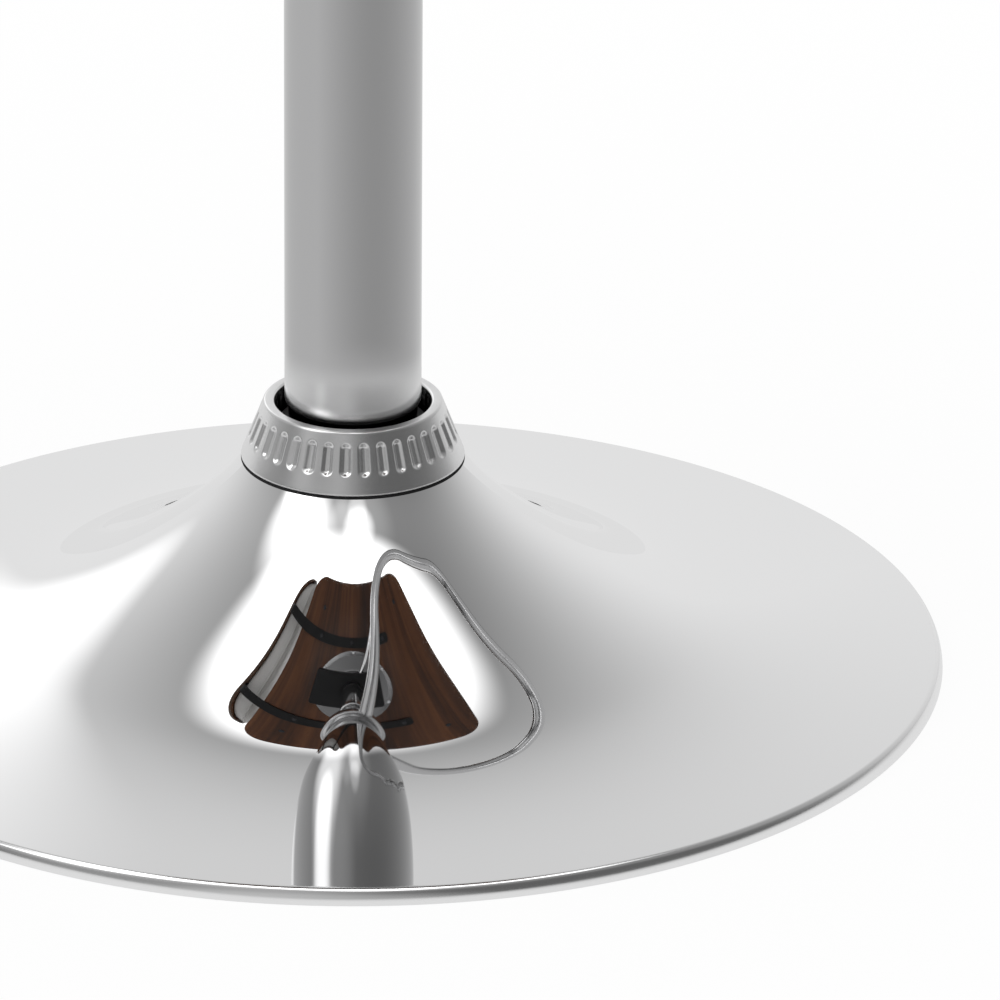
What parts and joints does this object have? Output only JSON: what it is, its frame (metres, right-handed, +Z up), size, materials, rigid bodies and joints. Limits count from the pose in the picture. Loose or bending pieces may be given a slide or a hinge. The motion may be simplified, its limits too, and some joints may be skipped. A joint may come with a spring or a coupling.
{
  "type": "swivel bar stool",
  "caption": "Gas-lift swivel bar stool: chrome trumpet base, slotted collar, footrest hoop, walnut seat and padded back.",
  "frame": {"origin": "on the floor under the column's axis, which is the middle of the base", "axes": "+Z up along the column, +X the way the sitter faces, +Y the sitter's left"},
  "size_m": [0.5214, 0.446, 0.9989],
  "materials": {
    "chrome": "polished",
    "bearing_steel": "polished",
    "plate_steel": "matte",
    "zinc_screws": "satin",
    "dark_screws": "satin",
    "black_coat": "satin",
    "cylinder_black": "satin",
    "black_plastic": "matte",
    "ring_rubber": "matte",
    "walnut": "satin",
    "ply": "matte",
    "pad_cover": "satin"
  },
  "bodies": {
    "stand": {"base_shell": "chrome", "floor_ring": "ring_rubber", "ballast_plate": "plate_steel", "base_hub": "plate_steel", "collar_gasket": "ring_rubber", "collar_ring": "chrome", "column_tube": "chrome", "guide_bush": "black_plastic", "footrest_collar": "chrome", "footrest_hoop": "chrome", "footrest_set_screws": "zinc_screws", "bearing_lower_race": "bearing_steel", "bearing_balls": "bearing_steel"},
    "rod": {"bearing_upper_race": "bearing_steel", "piston_rod": "bearing_steel", "rod_clip": "zinc_screws", "rubber_buffer": "ring_rubber", "piston": "black_plastic"},
    "seat": {"gas_cylinder": "cylinder_black", "cylinder_gland": "black_plastic", "stop_sleeve": "chrome", "taper_hub": "black_coat", "mechanism_housing": "black_coat", "mounting_plate": "black_coat", "mount_dish": "chrome", "plate_bolts": "zinc_screws", "plate_nuts": "zinc_screws", "dish_screws": "zinc_screws", "lever_ears": "black_coat", "lever_pivot_pin": "zinc_screws", "seat_board": "walnut", "seat_pad_board": "ply", "seat_pad": "pad_cover", "pad_screws": "dark_screws", "back_bracket_left": "black_coat", "back_bracket_right": "black_coat", "bracket_screws": "dark_screws", "back_shell": "walnut", "back_screws": "dark_screws", "back_pad_board": "ply", "back_pad": "pad_cover"},
    "lever": {"lift_lever": "chrome", "lever_grip": "black_plastic"},
    "valve": {"valve_pin": "bearing_steel"}
  },
  "joints": [
    {"name": "seat_swivel", "type": "hinge", "parent": "stand", "child": "rod", "pos_m": [0, 0, 0.025], "axis": [0, 0, 1], "continuous": true},
    {"name": "seat_lift", "type": "slide", "parent": "rod", "child": "seat", "axis": [0, 0, 1], "range_m": [-0.075, 0.125]},
    {"name": "lever_tilt", "type": "hinge", "parent": "seat", "child": "lever", "pos_m": [0.00976, -0.02193, 0.6557], "axis": [-0.9135, -0.4067, 0], "range_deg": [0, 6], "stiffness_Nm_per_rad": 2, "springref_deg": -5.73},
    {"name": "valve_press", "type": "slide", "parent": "seat", "child": "valve", "axis": [0, 0, -1], "range_m": [0, 0.0026]}
  ],
  "couplings": [
    {"joint": "valve_press", "follows": "lever_tilt", "m_per_rad": 0.0245}
  ]
}
